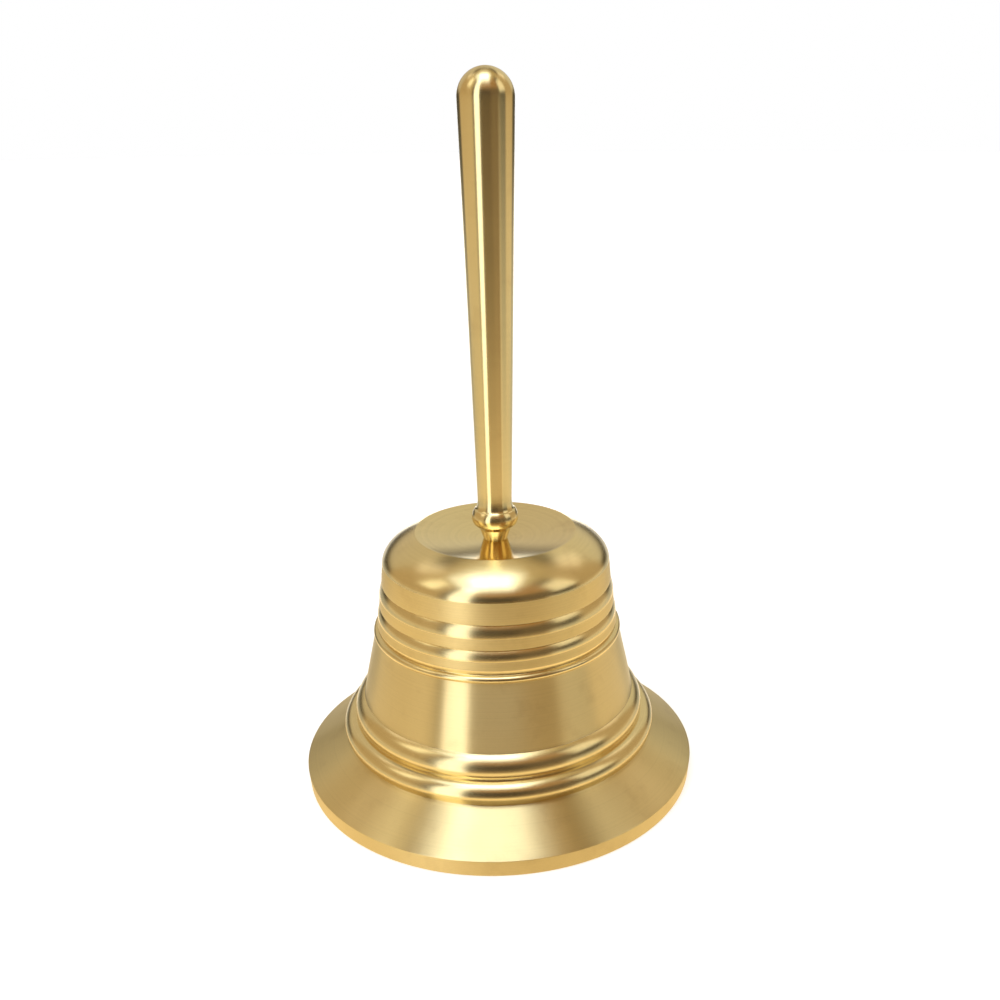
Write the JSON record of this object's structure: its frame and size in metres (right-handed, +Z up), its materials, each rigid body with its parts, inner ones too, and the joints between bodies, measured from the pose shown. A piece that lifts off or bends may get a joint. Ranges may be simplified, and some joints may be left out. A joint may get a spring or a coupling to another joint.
{
  "type": "handbell",
  "caption": "Turned brass handbell: a flared, beaded bell on a tapered round handle, with a ball clapper that swings inside.",
  "frame": {"origin": "centre of the rim's underside, on the surface the bell stands on", "axes": "+Z up along the turning axis, from the mouth to the handle's tip; the clapper swings in the XZ plane, about the pin along Y"},
  "size_m": [0.076, 0.076, 0.13],
  "materials": {
    "bell_brass": "turned and lacquered: glossy dome, coves and beads, finely grooved waist and flare, satin bands",
    "handle_brass": "turned and polished",
    "fitting_brass": "as machined",
    "ball_brass": "turned, slightly worn",
    "plated_steel": "zinc plated",
    "rod_steel": "bright drawn wire",
    "red_fibre": "vulcanised fibre"
  },
  "bodies": {
    "bell": {"bell_shell": "bell_brass", "handle": "handle_brass", "fibre_washer": "red_fibre", "flat_washer": "plated_steel", "lock_washer": "plated_steel", "crown_nut": "plated_steel", "clapper_hanger": "fitting_brass", "pivot_pin": "plated_steel"},
    "clapper": {"clapper_rod": "rod_steel", "ball_nut": "plated_steel", "clapper_ball": "ball_brass"}
  },
  "joints": [
    {"name": "clapper_swing", "type": "hinge", "parent": "bell", "child": "clapper", "pos_m": [0, 0, 0.0323], "axis": [0, 1, 0], "range_deg": [-38.5, 38.5]}
  ]
}
